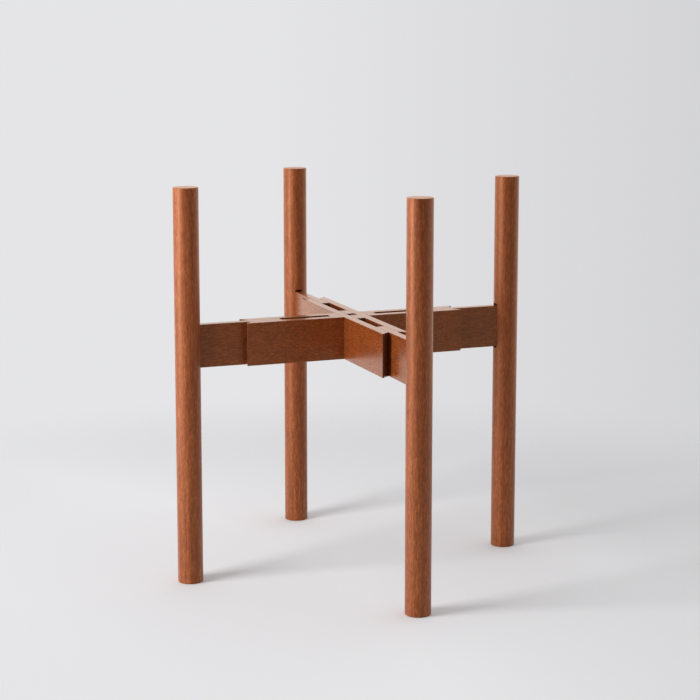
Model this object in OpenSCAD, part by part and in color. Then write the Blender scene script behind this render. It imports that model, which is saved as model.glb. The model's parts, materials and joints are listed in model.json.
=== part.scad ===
// Adjustable plant stand: four dowel legs, each on a rail that slides in one end of a
// cross, so that the legs close up on a small pot or draw out for a wide one.
// Millimetres, +Z up, origin on the floor under the middle of the cross.
// The legs are drawn out to their stops. One arm lies along X and the other along Y.

/* [Legs] */
// Height of the dowel legs
leg_h = 400; // [320:5:480]
// Diameter of the dowel legs
leg_d = 25.4; // [20:0.1:30]
// Distance between the axes of opposite legs, drawn out
leg_spread = 350; // [320:2:400]
// Chamfer round the two ends of a leg
leg_ease = 0.8; // [0.4:0.2:2]
// Depth of the blind mortise that holds the rail, from the face of the dowel
mortise_depth = 15; // [12:0.5:17]
// Room that the router leaves in the mortise above and below the rail
mortise_relief = 2; // [1:0.5:3]

/* [Rails] */
// How far each leg slides in from where it is drawn out
slide_travel = 52; // [40:1:60]
// Height of the boards on edge: rails, cheeks and spacers
board_h = 43.5; // [36:0.5:50]
// Chamfer along the edges of the boards
board_ease = 0.4; // [0.2:0.1:1]

/* [Cross] */
// Height of the pot seat, the top of the cross and rails, above the floor
seat_h = 263; // [180:1:300]
// Thickness of the cheeks, the two outer boards of an arm
cheek_t = 9; // [7:0.5:12]
// Width of the slot between the cheeks
slot_w = 9; // [7:0.5:11]
// Length of the spacer blocks glued between the cheeks
spacer_len = 11.5; // [8:0.5:16]
// How far the tips of an arm reach past the innermost point of the closed leg
cope_depth = 7; // [5:0.5:9]

/* [Slide keys] */
// Height of the key that carries the rail in the grooves of the cheeks
key_h = 6; // [4:0.5:9]
// Depth of the groove in each cheek
groove_depth = 3; // [2:0.25:4]
// Distance from the inner end of the rail to its key
key_inset = 2; // [1:0.5:4]
// Wood left between the end of the groove and the hollow end of the arm
stop_wall = 5; // [3:0.5:8]

/* [Fits] */
// Gap on each side of a sliding face
slide_gap = 0.15; // [0.1:0.05:0.3]
// Gap on each side of a glued joint
glue_gap = 0.05; // [0.02:0.01:0.1]
// Gap between a stop and what it stops
stop_gap = 0.3; // [0.2:0.05:0.5]
// Gap between the closed leg and the hollow end of the arm
cope_gap = 0.5; // [0.3:0.1:1]

/* [Hidden] */
$fn = 96;
cut = 1;                                       // how far a cut runs past the face it opens
leg_r = leg_d / 2;
leg_x = leg_spread / 2;
board_z = seat_h - board_h;
board_mid = seat_h - board_h / 2;

cheek_in = slot_w / 2;                         // inner face of a cheek, from the arm's middle
cheek_mid = cheek_in + cheek_t / 2;
cheek_out = cheek_in + cheek_t;
slot_in = cheek_out + spacer_len;              // inner end of the open slot in an arm
cope_r = leg_r + cope_gap;
cope_x = leg_x - slide_travel;                 // axis of the closed leg and of the hollow
cope_in = cope_x - cope_r;                     // innermost point of the hollow
arm_half = cope_in + cope_depth;

rail_t = slot_w - 2 * slide_gap;
rail_in = slot_in + stop_gap + slide_travel;   // the spacer stops the rail as the leg nests
rail_out = leg_x - leg_r + mortise_depth - glue_gap;
mortise_w = rail_t + 2 * glue_gap;
mortise_h = board_h + 2 * glue_gap;

groove_out = cope_in - stop_wall;              // blind end of the groove, which stops the key
groove_h = key_h + 2 * slide_gap;
groove_w = slot_w + 2 * groove_depth;          // across both grooves of an arm
key_in = rail_in + key_inset;
key_out = groove_out - stop_gap;
key_w = groove_w - 2 * slide_gap;

// Each piece is drawn for the end of the cross that points along +X, then turned to its side.
// The sides stand in the order in which quarter turns reach them.
SIDES = ["right", "back", "left", "front"];

module turned(side) {
    quarters = [for (i = [0 : len(SIDES) - 1]) if (SIDES[i] == side) i];
    rotate([0, 0, 90 * quarters[0]]) children();
}

// Block that runs from x0 to x1 along the arm, centred on the arm's middle plane
module block(x0, x1, width, z0, height) {
    translate([x0, -width / 2, z0]) cube([x1 - x0, width, height]);
}

// Board on edge that runs from x0 to x1 along the arm, with its four long edges chamfered
module board(x0, x1, width) {
    side = width / 2;
    translate([x0, 0, board_z])
        rotate([90, 0, 90])
            linear_extrude(x1 - x0)
                polygon([
                    [board_ease - side, 0], [side - board_ease, 0],
                    [side, board_ease], [side, board_h - board_ease],
                    [side - board_ease, board_h], [board_ease - side, board_h],
                    [-side, board_h - board_ease], [-side, board_ease]
                ]);
}

// Routed pocket in the leg, with the router's round corners above and below the rail
module mortise() {
    translate([leg_x - leg_r - cut, 0, board_mid])
        rotate([90, 0, 90])
            linear_extrude(mortise_depth + cut) {
                square([mortise_w, mortise_h], center = true);
                square([mortise_w - 2 * mortise_relief, mortise_h + 2 * mortise_relief], center = true);
                for (side = [-1, 1], end = [-1, 1])
                    translate([side * (mortise_w / 2 - mortise_relief), end * mortise_h / 2])
                        circle(r = mortise_relief);
            }
}

// Dowel on its own axis
module dowel() {
    rotate_extrude()
        polygon([
            [0, 0], [leg_r - leg_ease, 0], [leg_r, leg_ease],
            [leg_r, leg_h - leg_ease], [leg_r - leg_ease, leg_h], [0, leg_h]
        ]);
}

module leg() {
    color("sienna")
        difference() {
            translate([leg_x, 0, 0]) dowel();
            mortise();
        }
}

// Slides in the slot of the arm, and is let through near its inner end for its key
module rail() {
    color("sienna")
        difference() {
            board(rail_in, rail_out, rail_t);
            block(key_in - glue_gap, key_out + glue_gap, rail_t + 2 * cut,
                  board_mid - key_h / 2 - glue_gap, key_h + 2 * glue_gap);
        }
}

// Glued across the rail, it runs in the grooves of both cheeks and meets their ends as a stop
module slide_key() {
    color("peru")
        block(key_in, key_out, key_w, board_mid - key_h / 2, key_h);
}

module spacer() {
    color("sienna")
        block(cheek_out + glue_gap, slot_in, slot_w - 2 * glue_gap, board_z, board_h);
}

// Half-lap notch that lets one cheek of the other arm through at x
module half_lap(x, opens_up) {
    translate([x, 0, 0])
        block(-cheek_t / 2 - glue_gap, cheek_t / 2 + glue_gap, 2 * (cheek_out + cut),
              opens_up ? board_mid - glue_gap : board_z - cut, board_h / 2 + glue_gap + cut);
}

// Hollow in the tip of an arm and key groove behind it, at the end that points along +X
module arm_end_cuts() {
    translate([cope_x, 0, board_z - cut]) cylinder(r = cope_r, h = board_h + 2 * cut);
    block(slot_in, groove_out, groove_w, board_mid - groove_h / 2, groove_h);
}

// Cheek on the +Y side of the arm along X
module cheek(lap_opens_up) {
    color("sienna")
        difference() {
            translate([0, cheek_mid, 0]) board(-arm_half, arm_half, cheek_t);
            for (x = [-cheek_mid, cheek_mid]) half_lap(x, lap_opens_up);
            for (side = ["left", "right"]) turned(side) arm_end_cuts();
        }
}

turned("left") cheek(lap_opens_up = true);  // cross_x_front_cheek
turned("right") cheek(lap_opens_up = true);  // cross_x_back_cheek
turned("back") cheek(lap_opens_up = false);  // cross_y_left_cheek
turned("front") cheek(lap_opens_up = false);  // cross_y_right_cheek
turned("left") spacer();  // spacer_left
turned("right") spacer();  // spacer_right
turned("front") spacer();  // spacer_front
turned("back") spacer();  // spacer_back
turned("left") leg();  // leg_left
turned("right") leg();  // leg_right
turned("front") leg();  // leg_front
turned("back") leg();  // leg_back
turned("left") rail();  // rail_left
turned("right") rail();  // rail_right
turned("front") rail();  // rail_front
turned("back") rail();  // rail_back
turned("left") slide_key();  // slide_key_left
turned("right") slide_key();  // slide_key_right
turned("front") slide_key();  // slide_key_front
turned("back") slide_key();  // slide_key_back
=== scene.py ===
import json
import math

import bmesh
import bpy
from mathutils import Matrix, Vector


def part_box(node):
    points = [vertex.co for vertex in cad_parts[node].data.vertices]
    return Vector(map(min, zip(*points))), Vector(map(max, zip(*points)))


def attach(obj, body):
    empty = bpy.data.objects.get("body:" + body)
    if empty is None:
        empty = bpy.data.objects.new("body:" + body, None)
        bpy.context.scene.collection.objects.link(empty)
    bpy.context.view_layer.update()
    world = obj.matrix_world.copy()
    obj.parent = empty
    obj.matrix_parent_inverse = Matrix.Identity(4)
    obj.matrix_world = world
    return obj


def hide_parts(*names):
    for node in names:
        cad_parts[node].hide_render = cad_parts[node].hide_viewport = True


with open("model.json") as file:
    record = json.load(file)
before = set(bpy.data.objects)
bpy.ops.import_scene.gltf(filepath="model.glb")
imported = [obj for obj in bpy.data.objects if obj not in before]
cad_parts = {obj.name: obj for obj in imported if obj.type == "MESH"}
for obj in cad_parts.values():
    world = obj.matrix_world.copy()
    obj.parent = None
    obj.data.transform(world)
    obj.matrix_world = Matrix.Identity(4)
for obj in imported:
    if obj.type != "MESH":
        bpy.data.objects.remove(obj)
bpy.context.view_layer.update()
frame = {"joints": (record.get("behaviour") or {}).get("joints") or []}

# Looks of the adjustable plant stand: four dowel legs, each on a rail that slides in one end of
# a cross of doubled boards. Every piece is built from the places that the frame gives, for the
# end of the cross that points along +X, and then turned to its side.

MM = 0.001
scene = bpy.context.scene
scene.view_settings.view_transform = "Standard"


# ---------------------------------------------------------------- small helpers

def linear(hex_colour):
    """An sRGB hex colour as the linear RGBA that Blender's sockets take."""
    channels = [int(hex_colour[i:i + 2], 16) / 255 for i in (1, 3, 5)]
    return [c / 12.92 if c <= 0.04045 else ((c + 0.055) / 1.055) ** 2.4 for c in channels] + [1.0]


def empty_tree(owner):
    """The node tree of a new material or world, with nothing in it."""
    owner.use_nodes = True
    owner.node_tree.nodes.clear()
    return owner.node_tree


def add(tree, kind, inputs=None, **settings):
    """Add a node with its settings. An input is a value or the socket of another node."""
    node = tree.nodes.new(kind)
    for name, value in settings.items():
        setattr(node, name, value)
    for name, value in (inputs or {}).items():
        if isinstance(value, bpy.types.NodeSocket):
            tree.links.new(value, node.inputs[name])
        else:
            node.inputs[name].default_value = value
    return node


def maths(tree, operation, *values):
    """One step of arithmetic. MULTIPLY_ADD multiplies the first two values and adds the third."""
    return add(tree, "ShaderNodeMath", dict(enumerate(values)), operation=operation).outputs[0]


def towards(tree, way, direction):
    """How far a way points towards a direction: 1 straight at it, -1 straight away from it."""
    return add(tree, "ShaderNodeVectorMath", {0: way, 1: direction},
               operation="DOT_PRODUCT").outputs["Value"]


def progress(tree, value, start, end, full=1.0, **settings):
    """How far a value has come from start to end, as 0 up to full."""
    return add(tree, "ShaderNodeMapRange", {"Value": value, "From Min": start, "From Max": end,
                                            "To Max": full}, **settings).outputs[0]


def blend(tree, amount, first, second):
    """The first colour at 0 and the second at 1, by the sockets of the Mix node for colours."""
    return add(tree, "ShaderNodeMix", {0: amount, 6: first, 7: second},
               data_type="RGBA").outputs[2]


# ---------------------------------------------------------------- camera

CAMERA_PLACE = (-0.644, -1.662, 0.563)
CAMERA_YAW = math.radians(21.12)
CAMERA_PITCH = math.radians(-8.44)
SENSOR_WIDTH = 36                # in millimetres, as the lens is
LENS = 90.5
LENS_SHIFT = -0.10               # shows more below without tilting, so the uprights converge less

camera = bpy.data.objects.new("camera", bpy.data.cameras.new("camera"))
camera.location = CAMERA_PLACE
camera.rotation_euler = (math.pi / 2 + CAMERA_PITCH, 0, -CAMERA_YAW)
camera.data.sensor_width = SENSOR_WIDTH
camera.data.lens = LENS
camera.data.shift_y = LENS_SHIFT
scene.collection.objects.link(camera)
scene.camera = camera


# ---------------------------------------------------------------- studio

AWAY = (0.36, 0.933, 0)          # level direction in which the photograph looks
ACROSS = (0.933, -0.36, 0)       # level direction from its left to its right
OVERHEAD = (0.22, 0.25, 0.943)   # middle of the soft ceiling light
CEILING_POWER = 1.4
CEILING_FOCUS = 1.5              # the higher, the more the ceiling light comes from its middle

# The backdrop is painted darker towards the right, as painted shade falling off from the lamp at the
# left.
BACKDROP_LIT_LEFT = "#e5e5e7"
BACKDROP_SHADED_RIGHT = "#d4d4d6"
BACKDROP_TURNS = -0.05           # how far towards ACROSS the lit left colour reaches
BACKDROP_TURNED = 0.2            # and where the painted shade of the right colour begins

ROOM = "#e9dfd6"                 # what the polished wood mirrors
ROOM_DIM = 0.2                   # strength of the room on the photographer's side
ROOM_BRIGHT = 1.45               # and beyond the stand
ROOM_DIM_TO = -0.78              # how far towards AWAY the dim side reaches
ROOM_BRIGHT_FROM = 0.2           # and where the bright side begins
ROOM_CURVE = 0.6                 # under 1, most of the change lies near the dim side

FLOOR_R = 1.1
FLOOR_SIDES = 96
SHADE_R = 0.42                   # the paper shows its own light and shade this far out
FADED_R = 0.85                   # and only the backdrop shows from here on
PAPER_WHITE = "#f3f3f5"
PAPER_SHADE_NEAR_LAMP = "#cdcdcf"
PAPER_BOUNCE = "#bcbcbc"         # what the paper throws back on the stand
LAMP_SHADE_R = 0.6                     # the paper is painted with shade this near the lamp, to even out the lamp's bright pool
LAMP_SHADE_GONE_R = 1.0                    # and the painted shade is gone from here on
POOL_R = 0.8                     # the lamp's bright pool on the paper begins to fade this near it
POOL_GONE_R = 0.5                # and is gone from here on

LAMP_PLACE = (-1.03, -0.12, 0.5)
LAMP_SIZE = (0.45, 1.0)
LAMP_POWER = 10.8
LAMP_AIM = (0, 0, 0.2)


def pale_world():
    """Pale surroundings: to the camera plain with painted shade towards the right, pale beyond the
    stand in reflections, soft from above.
    """
    world = bpy.data.worlds.new("pale surroundings")
    tree = empty_tree(world)
    ray = add(tree, "ShaderNodeLightPath").outputs
    way = add(tree, "ShaderNodeTexCoord").outputs["Generated"]

    above = maths(tree, "MAXIMUM", towards(tree, way, OVERHEAD), 0.0)
    above = maths(tree, "POWER", above, CEILING_FOCUS)
    above = maths(tree, "MULTIPLY", above, CEILING_POWER)
    ceiling = add(tree, "ShaderNodeBackground", {"Strength": above})

    beyond = progress(tree, towards(tree, way, AWAY), ROOM_DIM_TO, ROOM_BRIGHT_FROM)
    beyond = maths(tree, "POWER", beyond, ROOM_CURVE)
    beyond = maths(tree, "MULTIPLY_ADD", beyond, ROOM_BRIGHT - ROOM_DIM, ROOM_DIM)
    room = add(tree, "ShaderNodeBackground", {"Color": linear(ROOM), "Strength": beyond})
    mirrored = maths(tree, "MAXIMUM", ray["Is Glossy Ray"], ray["Is Transmission Ray"])
    around = add(tree, "ShaderNodeMixShader",
                 {0: mirrored, 1: ceiling.outputs[0], 2: room.outputs[0]})

    # painted shade: the backdrop darkens towards the right, away from the lamp
    across = progress(tree, towards(tree, way, ACROSS), BACKDROP_TURNS, BACKDROP_TURNED)
    backdrop = blend(tree, across, linear(BACKDROP_LIT_LEFT), linear(BACKDROP_SHADED_RIGHT))
    plain = add(tree, "ShaderNodeBackground", {"Color": backdrop})
    seen = add(tree, "ShaderNodeMixShader",
               {0: ray["Is Camera Ray"], 1: around.outputs[0], 2: plain.outputs[0]})
    add(tree, "ShaderNodeOutputWorld", {"Surface": seen.outputs[0]})
    scene.world = world


def pale_paper():
    """Matt background paper, painted greyer near the lamp as painted shade that evens out its pool of
    light, that fades out to show the backdrop.
    """
    material = bpy.data.materials.new("pale matt paper")
    tree = empty_tree(material)
    ray = add(tree, "ShaderNodeLightPath").outputs
    place = add(tree, "ShaderNodeTexCoord").outputs["Object"]
    out = add(tree, "ShaderNodeVectorMath", {0: place}, operation="LENGTH").outputs["Value"]
    from_lamp = add(tree, "ShaderNodeVectorMath", {0: place, 1: (*LAMP_PLACE[:2], 0)},
                    operation="DISTANCE").outputs["Value"]

    # painted shade: the paper is darker where the lamp lights it most
    past_painted_shade = progress(tree, from_lamp, LAMP_SHADE_R, LAMP_SHADE_GONE_R)
    tone = blend(tree, past_painted_shade, linear(PAPER_SHADE_NEAR_LAMP), linear(PAPER_WHITE))
    tone = blend(tree, ray["Is Diffuse Ray"], tone, linear(PAPER_BOUNCE))
    paper = add(tree, "ShaderNodeBsdfDiffuse", {"Color": tone})

    far_out = progress(tree, out, SHADE_R, FADED_R, interpolation_type="SMOOTHSTEP")
    by_lamp = progress(tree, from_lamp, POOL_R, POOL_GONE_R, interpolation_type="SMOOTHSTEP")
    faded = maths(tree, "MAXIMUM", far_out, by_lamp)
    faded = maths(tree, "MULTIPLY", faded, ray["Is Camera Ray"])
    clear = add(tree, "ShaderNodeBsdfTransparent")
    seen = add(tree, "ShaderNodeMixShader", {0: faded, 1: paper.outputs[0], 2: clear.outputs[0]})
    add(tree, "ShaderNodeOutputMaterial", {"Surface": seen.outputs[0]})
    return material


def studio():
    """Paper floor, its surroundings, and one soft lamp at the left."""
    pale_world()
    mesh = bpy.data.meshes.new("floor")
    bm = bmesh.new()
    bmesh.ops.create_circle(bm, cap_ends=True, segments=FLOOR_SIDES, radius=FLOOR_R)
    bm.to_mesh(mesh)
    bm.free()
    mesh.materials.append(pale_paper())
    floor = bpy.data.objects.new("floor", mesh)
    scene.collection.objects.link(floor)

    light = bpy.data.lights.new("lamp", "AREA")
    light.shape = "RECTANGLE"
    light.size, light.size_y = LAMP_SIZE
    light.energy = LAMP_POWER
    lamp = bpy.data.objects.new("lamp", light)
    lamp.location = LAMP_PLACE
    aim = Vector(LAMP_AIM) - lamp.location
    lamp.rotation_euler = aim.to_track_quat("-Z", "Y").to_euler()
    scene.collection.objects.link(lamp)


# ---------------------------------------------------------------- wood

RIBBON_SHARE = 0.45              # what each figure adds to the tone, from deep to pale
MOTTLE_SHARE = 0.45
FIBRE_SHARE = 0.75
DEEP_TONE = 0.6                  # the tones at which the three colours stand
MIDDLE_TONE = 0.82
PALE_TONE = 1.0
PORE_BEGINS = 0.58               # value of the pores' noise at which one begins to open
PORE_OPEN = 0.72
PORE_COVER = 0.55                # how far an open pore hides the colour round it
PORE_DEPTH = 1.6                 # against the relief of the fibres
END_BEGINS = 0.6                 # how squarely a face must cut the fibres to show their ends
END_SQUARE = 0.95
END_COVER = 0.9
ROUGHNESS_SPREAD = 0.16          # from the smoothest fibres to the roughest
RELIEF_STRENGTH = 0.5
WOOD_IOR = 1.5                   # of the wood, and of the oil on it


def wood(name, grain, pale, mid, deep, pore, ends, lustre, polish, roughness, relief, ripple,
         oil, oil_roughness):
    """Solid wood whose fibres run along one axis, so that ends show as end grain by themselves.

    The fibres have a lustre of the wood's own colour, and a thin film of oil lies over them. Ripple
    is the part of the ribbons that runs across the fibres instead, and relief is in millimetres.
    The sizes of the figures are also in millimetres, along the fibres and across them. The mottle,
    fibres and pores of the real wood are finer, and are drawn as coarse as they need to be to show.
    """
    material = bpy.data.materials.new(name)
    tree = empty_tree(material)
    place = add(tree, "ShaderNodeTexCoord").outputs
    turn = {"X": (0, 0, 0), "Y": (0, 0, -math.pi / 2), "Z": (0, math.pi / 2, 0)}[grain]
    plank = add(tree, "ShaderNodeMapping", {"Vector": place["Object"], "Rotation": turn})
    facing = add(tree, "ShaderNodeMapping", {"Vector": place["Normal"], "Rotation": turn},
                 vector_type="NORMAL")

    def figure(along, across, detail, rough, wander=0.0):
        """Noise drawn out along the fibres."""
        scale = (1 / (along * MM), 1 / (across * MM), 1 / (across * MM))
        drawn = add(tree, "ShaderNodeMapping", {"Vector": plank.outputs[0], "Scale": scale})
        return add(tree, "ShaderNodeTexNoise",
                   {"Vector": drawn.outputs[0], "Scale": 1.0, "Detail": detail,
                    "Roughness": rough, "Distortion": wander}).outputs[0]

    ribbon = figure(along=90, across=3.5, detail=3, rough=0.5, wander=0.3)
    mottle = figure(along=12, across=1.8, detail=2, rough=0.5)
    rippled = figure(along=1.6, across=14, detail=2, rough=0.5, wander=0.4)
    fibre = figure(along=4.5, across=0.8, detail=2, rough=0.6)
    pores = figure(along=4, across=0.45, detail=1, rough=0.5)

    tone = maths(tree, "MULTIPLY", mottle, MOTTLE_SHARE)
    tone = maths(tree, "MULTIPLY_ADD", rippled, ripple, tone)
    tone = maths(tree, "MULTIPLY_ADD", ribbon, RIBBON_SHARE - ripple, tone)
    tone = maths(tree, "MULTIPLY_ADD", fibre, FIBRE_SHARE, tone)
    ramp = add(tree, "ShaderNodeValToRGB", {"Fac": tone})
    stops = ramp.color_ramp.elements
    stops[0].position = DEEP_TONE
    stops[0].color = linear(deep)
    stops[1].position = PALE_TONE
    stops[1].color = linear(pale)
    stops.new(MIDDLE_TONE).color = linear(mid)

    open_pore = progress(tree, pores, PORE_BEGINS, PORE_OPEN, full=PORE_COVER)
    colour = blend(tree, open_pore, ramp.outputs[0], linear(pore))
    along_fibres = add(tree, "ShaderNodeSeparateXYZ", {0: facing.outputs[0]}).outputs[0]
    squareness = maths(tree, "ABSOLUTE", along_fibres)
    end_grain = progress(tree, squareness, END_BEGINS, END_SQUARE, full=END_COVER)
    # on the dowels the ends' colour is partly end grain and partly a painted sheen on the tops
    colour = blend(tree, end_grain, colour, linear(ends))

    smoothest = roughness - ROUGHNESS_SPREAD / 2
    dull = maths(tree, "MULTIPLY_ADD", fibre, ROUGHNESS_SPREAD, smoothest)
    height = maths(tree, "MULTIPLY_ADD", open_pore, -PORE_DEPTH, fibre)
    bump = add(tree, "ShaderNodeBump", {"Height": height, "Strength": RELIEF_STRENGTH,
                                        "Distance": relief * MM})
    skin = add(tree, "ShaderNodeBsdfPrincipled",
               {"Base Color": colour, "Roughness": dull, "IOR": WOOD_IOR,
                "Specular IOR Level": polish, "Specular Tint": linear(lustre),
                "Normal": bump.outputs[0], "Coat Weight": oil, "Coat IOR": WOOD_IOR,
                "Coat Roughness": oil_roughness, "Coat Normal": bump.outputs[0]})
    add(tree, "ShaderNodeOutputMaterial", {"Surface": skin.outputs[0]})
    return material


# Oiled sapele, turned: reddish brown with short pale and dark streaks, an orange lustre, and paler,
# greyer sawn ends, partly their own end grain and partly a painted sheen on the leg tops
dowel_sapele = wood("oiled sapele dowel", "Z", pale="#bb693a", mid="#994d22", deep="#703417",
                    pore="#452311", ends="#bd876a", lustre="#ffac76", polish=0.9, roughness=0.4,
                    relief=0.05, ripple=0.0, oil=0.55, oil_roughness=0.6)
# A darker plank of it, planed flat: fine streaks along each board, a ripple across them, a pale
# satin sheen, and dark ends
PLANED = dict(pale="#a55525", mid="#8c4318", deep="#6d3010", pore="#453832", ends="#453832",
              lustre="#ffcc98", polish=0.8, roughness=0.27, relief=0.01, ripple=0.4,
              oil=0.5, oil_roughness=0.3)
board_sapele = {"X": wood("oiled sapele board along X", "X", **PLANED),
                "Y": wood("oiled sapele board along Y", "Y", **PLANED)}
# Bare beech, sawn: pale, even and dry, hidden in the grooves
key_beech = wood("bare beech key", "Z", pale="#d8b48a", mid="#c69c6e", deep="#ad8357",
                 pore="#8a6440", ends="#8a6440", lustre="#ffffff", polish=0.4, roughness=0.65,
                 relief=0.08, ripple=0.0, oil=0.0, oil_roughness=0.3)


# ---------------------------------------------------------------- places from the frame

QUARTERS = {"right": 0, "back": 1, "left": 2, "front": 3}           # quarter turns from +X
ALONG = {"right": "X", "back": "Y", "left": "X", "front": "Y"}      # axis of each side's arm

leg_low, leg_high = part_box("leg_right")
leg_x = (leg_low.x + leg_high.x) / 2
leg_r = (leg_high.x - leg_low.x) / 2
leg_h = leg_high.z
rail_low, rail_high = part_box("rail_right")
key_low, key_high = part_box("slide_key_right")
spacer_low, spacer_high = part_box("spacer_right")
cheek_low, cheek_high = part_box("cross_x_back_cheek")
travel = frame["joints"][0]["range_m"][1]

GLUE_GAP = 0.05 * MM             # on each side of a glued joint
GROOVE_GAP = 0.15 * MM           # on each side of a key in its grooves
STOP_GAP = 0.3 * MM              # between a key and the end of its grooves
COPE_GAP = 0.5 * MM              # between the closed leg and the hollow end of the arm
MORTISE_RELIEF = 2 * MM          # room that the router leaves above and below the rail
CUT = 1 * MM                     # how far a cut runs past the face it opens

DOWEL_SIDES = 144
DOWEL_RINGS = 40
HOLLOW_SIDES = 96
MORTISE_CORNER_STEPS = 6
EASE_STEPS = 3

LEG_EASE = 0.8 * MM
MOUTH_EASE = 0.2 * MM
BOARD_EASE = 0.4 * MM
BLOCK_EASE = 0.2 * MM
TIP_EASE = 0.15 * MM


# ---------------------------------------------------------------- shapes by rule

def new_tree(name, sizes):
    """A Geometry Nodes tree with named sizes in metres and a wood to set."""
    tree = bpy.data.node_groups.new(name, "GeometryNodeTree")
    for size in sizes:
        tree.interface.new_socket(size, in_out="INPUT", socket_type="NodeSocketFloat")
    tree.interface.new_socket("Wood", in_out="INPUT", socket_type="NodeSocketMaterial")
    tree.interface.new_socket("Geometry", in_out="OUTPUT", socket_type="NodeSocketGeometry")
    return tree, add(tree, "NodeGroupInput").outputs


def close_tree(tree, geometry, material):
    """End a tree with real geometry in its material."""
    real = add(tree, "GeometryNodeRealizeInstances", {"Geometry": geometry})
    dressed = add(tree, "GeometryNodeSetMaterial", {"Geometry": real.outputs[0], "Material": material})
    add(tree, "NodeGroupOutput", {"Geometry": dressed.outputs[0]})
    return tree


def point(tree, x, y, z):
    return add(tree, "ShaderNodeCombineXYZ", {"X": x, "Y": y, "Z": z}).outputs[0]


def cuboid(tree, length, width, height):
    return add(tree, "GeometryNodeMeshCube", {"Size": point(tree, length, width, height)}).outputs[0]


def moved(tree, geometry, x, y, z):
    return add(tree, "GeometryNodeTransform",
               {"Geometry": geometry, "Translation": point(tree, x, y, z)}).outputs[0]


def cut_away(tree, solid, cutter):
    """What is left of a solid without its cuts."""
    return add(tree, "GeometryNodeMeshBoolean", {"Mesh 1": solid, "Mesh 2": cutter},
               operation="DIFFERENCE", solver="EXACT").outputs[0]


def dowel_tree():
    """Dowel on end with a routed pocket, round at its corners, in the side that faces the cross."""
    tree, size = new_tree("dowel with mortise", [
        "Axis", "Radius", "Height", "Mortise Width", "Mortise Height", "Mortise Corner",
        "Mortise Floor", "Mortise Middle"])
    stick = add(tree, "GeometryNodeMeshCylinder",
                {"Vertices": DOWEL_SIDES, "Side Segments": DOWEL_RINGS, "Radius": size["Radius"],
                 "Depth": size["Height"]})
    half = maths(tree, "DIVIDE", size["Height"], 2.0)
    stood = moved(tree, stick.outputs[0], size["Axis"], 0.0, half)
    outline = add(tree, "GeometryNodeCurvePrimitiveQuadrilateral",
                  {"Width": size["Mortise Width"], "Height": size["Mortise Height"]})
    routed = add(tree, "GeometryNodeFilletCurve",
                 {"Curve": outline.outputs[0], "Radius": size["Mortise Corner"],
                  "Count": MORTISE_CORNER_STEPS, "Limit Radius": True}, mode="POLY")
    face = maths(tree, "SUBTRACT", size["Axis"], size["Radius"])
    outside = maths(tree, "SUBTRACT", face, CUT)
    path = add(tree, "GeometryNodeCurvePrimitiveLine",
               {"Start": point(tree, outside, 0.0, size["Mortise Middle"]),
                "End": point(tree, size["Mortise Floor"], 0.0, size["Mortise Middle"])})
    mortise = add(tree, "GeometryNodeCurveToMesh",
                  {"Curve": path.outputs[0], "Profile Curve": routed.outputs[0], "Fill Caps": True})
    return close_tree(tree, cut_away(tree, stood, mortise.outputs[0]), size["Wood"])


def cheek_tree():
    """Outer board of an arm: hollow tips, grooves for the keys and two half-lap notches."""
    tree, size = new_tree("cheek board", [
        "Half Length", "Thickness", "Height", "Side", "Middle", "Hollow Radius", "Hollow Place",
        "Lap Place", "Lap Width", "Lap Middle", "Groove Middle", "Groove Length", "Groove Width",
        "Groove Height"])
    length = maths(tree, "MULTIPLY", size["Half Length"], 2.0)
    blank = cuboid(tree, length, size["Thickness"], size["Height"])
    board = moved(tree, blank, 0.0, size["Side"], size["Middle"])

    def at_both_ends(cutter, place, side, height):
        """The same cut at the two ends of the board."""
        start = maths(tree, "MULTIPLY", place, -1.0)
        ends = add(tree, "GeometryNodeMeshLine",
                   {"Count": 2, "Start Location": point(tree, start, side, height),
                    "Offset": point(tree, place, side, height)}, mode="END_POINTS")
        return add(tree, "GeometryNodeInstanceOnPoints",
                   {"Points": ends.outputs[0], "Instance": cutter}).outputs[0]

    deep = maths(tree, "ADD", size["Height"], 2 * CUT)
    hollow = add(tree, "GeometryNodeMeshCylinder",
                 {"Vertices": HOLLOW_SIDES, "Radius": size["Hollow Radius"], "Depth": deep})
    wide = maths(tree, "ADD", size["Thickness"], 2 * CUT)
    lap_height = maths(tree, "ADD", maths(tree, "DIVIDE", size["Height"], 2.0), CUT)
    lap = cuboid(tree, size["Lap Width"], wide, lap_height)
    groove = cuboid(tree, size["Groove Length"], size["Groove Width"], size["Groove Height"])
    cuts = [at_both_ends(hollow.outputs[0], size["Hollow Place"], 0.0, size["Middle"]),
            at_both_ends(lap, size["Lap Place"], size["Side"], size["Lap Middle"]),
            at_both_ends(groove, size["Groove Middle"], 0.0, size["Middle"])]
    join = add(tree, "GeometryNodeJoinGeometry")
    for cutter in cuts:
        tree.links.new(cutter, join.inputs[0])
    real = add(tree, "GeometryNodeRealizeInstances", {"Geometry": join.outputs[0]})
    return close_tree(tree, cut_away(tree, board, real.outputs[0]), size["Wood"])


def rail_tree():
    """Board on edge, let through across its thickness for its key."""
    tree, size = new_tree("rail board", [
        "Length", "Thickness", "Height", "Place", "Middle", "Hole Place", "Hole Length",
        "Hole Height"])
    blank = cuboid(tree, size["Length"], size["Thickness"], size["Height"])
    board = moved(tree, blank, size["Place"], 0.0, size["Middle"])
    wide = maths(tree, "ADD", size["Thickness"], 2 * CUT)
    chop = cuboid(tree, size["Hole Length"], wide, size["Hole Height"])
    hole = moved(tree, chop, size["Hole Place"], 0.0, size["Middle"])
    return close_tree(tree, cut_away(tree, board, hole), size["Wood"])


# ---------------------------------------------------------------- from tree to finished piece

SHARP = math.radians(45)         # edges sharper than this are eased, and shaded as edges
FLAT = math.radians(1)           # faces that meet at less than this become one
SPECK = 0.01 * MM                # edges shorter than this are closed up


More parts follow.
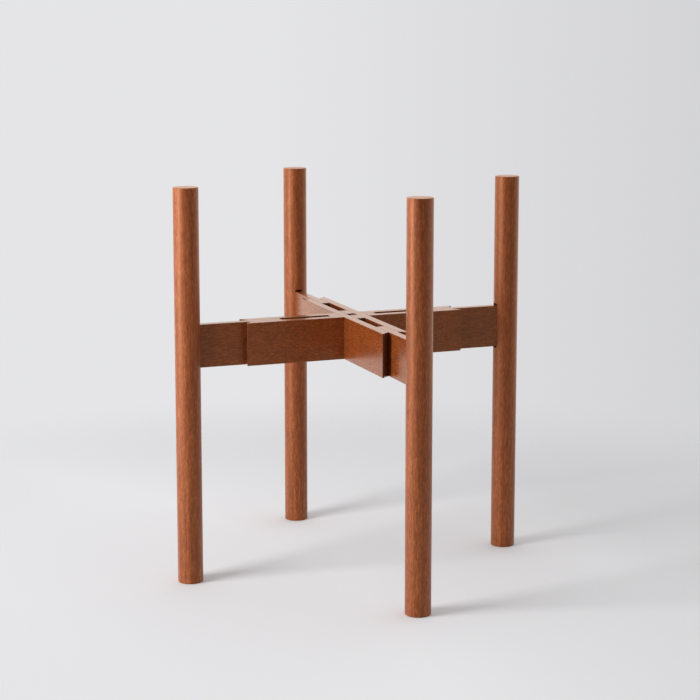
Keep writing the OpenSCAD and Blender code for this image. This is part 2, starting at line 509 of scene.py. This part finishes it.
def settle(piece):
    """Turn a piece with its modifiers into a plain mesh."""
    evaluated = piece.evaluated_get(bpy.context.evaluated_depsgraph_get())
    mesh = bpy.data.meshes.new_from_object(evaluated)
    piece.modifiers.clear()
    piece.data = mesh


def shaped(name, tree, sizes, material):
    """Evaluate a Geometry Nodes tree with its sizes as a plain mesh."""
    piece = bpy.data.objects.new(name, bpy.data.meshes.new(name))
    scene.collection.objects.link(piece)
    modifier = piece.modifiers.new("shape", "NODES")
    modifier.node_group = tree
    for item in tree.interface.items_tree:
        if item.in_out == "INPUT":
            modifier[item.identifier] = material if item.name == "Wood" else float(sizes[item.name])
    settle(piece)
    piece.data.materials.clear()
    piece.data.materials.append(material)
    for face in piece.data.polygons:
        face.material_index = 0
    return piece


def block(name, low, high, material):
    """Small sawn block between two corners."""
    mesh = bpy.data.meshes.new(name)
    bm = bmesh.new()
    size = high - low
    place = Matrix.Translation((low + high) / 2) @ Matrix.Diagonal((*size, 1))
    bmesh.ops.create_cube(bm, size=1, matrix=place)
    bm.to_mesh(mesh)
    bm.free()
    mesh.materials.append(material)
    piece = bpy.data.objects.new(name, mesh)
    scene.collection.objects.link(piece)
    return piece


def ease(piece, width, where=lambda edge: True):
    """Round the sharp outer edges, as sandpaper does."""
    bm = bmesh.new()
    bm.from_mesh(piece.data)
    bmesh.ops.dissolve_degenerate(bm, dist=SPECK, edges=bm.edges)
    bmesh.ops.dissolve_limit(bm, angle_limit=FLAT, verts=bm.verts, edges=bm.edges,
                             delimit={"NORMAL"})
    sharp = [edge for edge in bm.edges
             if edge.is_manifold and edge.is_convex and edge.calc_face_angle() > SHARP and where(edge)]
    bmesh.ops.bevel(bm, geom=sharp, offset=width, segments=EASE_STEPS, profile=0.5, affect="EDGES",
                    clamp_overlap=True)
    bm.to_mesh(piece.data)
    bm.free()


def finish(piece, side, body, node):
    """Turn a piece to its side, smooth its rounded edges, and set it on its body."""
    piece.data.transform(Matrix.Rotation(QUARTERS[side] * math.pi / 2, 4, "Z"))
    piece.data.shade_smooth()
    piece.data.set_sharp_from_angle(angle=SHARP)
    weighted = piece.modifiers.new("flat faces stay flat", "WEIGHTED_NORMAL")
    weighted.keep_sharp = True
    settle(piece)
    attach(piece, body)
    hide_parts(node)


# ---------------------------------------------------------------- legs

END_REACH = 1 * MM               # edges this near an end of the leg belong to that end
MOUTH_LONGEST = 100 * MM         # edges of the mortise's mouth are shorter than this


def leg(side, tree):
    """Dowel leg, eased round its ends and a little round the mouth of its mortise."""
    sizes = {"Axis": leg_x, "Radius": leg_r, "Height": leg_h,
             "Mortise Width": rail_high.y - rail_low.y + 2 * GLUE_GAP,
             "Mortise Height": rail_high.z - rail_low.z + 2 * (GLUE_GAP + MORTISE_RELIEF),
             "Mortise Corner": MORTISE_RELIEF,
             "Mortise Floor": rail_high.x + GLUE_GAP,
             "Mortise Middle": (rail_low.z + rail_high.z) / 2}
    piece = shaped(f"{side}_dowel_leg", tree, sizes, dowel_sapele)

    def at_end(edge):
        heights = [vert.co.z for vert in edge.verts]
        return max(heights) < END_REACH or min(heights) > leg_h - END_REACH

    ease(piece, LEG_EASE, at_end)
    ease(piece, MOUTH_EASE, lambda edge: not at_end(edge) and edge.calc_length() < MOUTH_LONGEST)
    finish(piece, side, f"{side}_leg", f"leg_{side}")


# ---------------------------------------------------------------- cross

BOARD_EDGE_LEAST = 50 * MM       # only the edges along a cheek are longer than this
TIP_BEGINS = 50 * MM             # distance from the middle past which a cheek's tips begin


def cheek(name, side, opens_up, tree):
    """Outer board of an arm, eased along its edges and a little round its tips."""
    height = cheek_high.z - cheek_low.z
    thickness = cheek_high.y - cheek_low.y
    middle = (cheek_low.z + cheek_high.z) / 2
    groove_start = spacer_high.x
    groove_end = key_high.x + STOP_GAP
    lap_rise = height / 4 + (CUT - GLUE_GAP) / 2
    sizes = {"Half Length": cheek_high.x, "Thickness": thickness, "Height": height,
             "Side": (cheek_low.y + cheek_high.y) / 2, "Middle": middle,
             "Hollow Radius": leg_r + COPE_GAP, "Hollow Place": leg_x - travel,
             "Lap Place": (cheek_low.y + cheek_high.y) / 2, "Lap Width": thickness + 2 * GLUE_GAP,
             "Lap Middle": middle + (lap_rise if opens_up else -lap_rise),
             "Groove Middle": (groove_start + groove_end) / 2,
             "Groove Length": groove_end - groove_start,
             "Groove Width": key_high.y - key_low.y + 2 * GROOVE_GAP,
             "Groove Height": key_high.z - key_low.z + 2 * GROOVE_GAP}
    piece = shaped(f"{name}_board", tree, sizes, board_sapele[ALONG[side]])
    ease(piece, BOARD_EASE, lambda edge: edge.calc_length() > BOARD_EDGE_LEAST)
    ease(piece, TIP_EASE, lambda edge: min(abs(vert.co.x) for vert in edge.verts) > TIP_BEGINS)
    finish(piece, side, "cross", f"cross_{name}_cheek")


def spacer(side):
    """Block glued between the cheeks beside the crossing."""
    piece = block(f"{side}_spacer_block", spacer_low, spacer_high, board_sapele[ALONG[side]])
    ease(piece, BLOCK_EASE)
    finish(piece, side, "cross", f"spacer_{side}")


# ---------------------------------------------------------------- slides

def rail(side, tree):
    """Board that carries the leg and slides between the cheeks."""
    sizes = {"Length": rail_high.x - rail_low.x, "Thickness": rail_high.y - rail_low.y,
             "Height": rail_high.z - rail_low.z, "Place": (rail_low.x + rail_high.x) / 2,
             "Middle": (rail_low.z + rail_high.z) / 2,
             "Hole Place": (key_low.x + key_high.x) / 2,
             "Hole Length": key_high.x - key_low.x + 2 * GLUE_GAP,
             "Hole Height": key_high.z - key_low.z + 2 * GLUE_GAP}
    piece = shaped(f"{side}_rail_board", tree, sizes, board_sapele[ALONG[side]])
    ease(piece, BOARD_EASE)
    finish(piece, side, f"{side}_leg", f"rail_{side}")


def slide_key(side):
    """Slip across the rail that runs in the grooves of both cheeks."""
    piece = block(f"{side}_key_slip", key_low, key_high, key_beech)
    ease(piece, BLOCK_EASE)
    finish(piece, side, f"{side}_leg", f"slide_key_{side}")


# ---------------------------------------------------------------- the stand

studio()
dowels, cheeks, rails = dowel_tree(), cheek_tree(), rail_tree()
for side in QUARTERS:
    leg(side, dowels)
    rail(side, rails)
    slide_key(side)
    spacer(side)
cheek("x_front", "left", True, cheeks)
cheek("x_back", "right", True, cheeks)
cheek("y_left", "back", False, cheeks)
cheek("y_right", "front", False, cheeks)
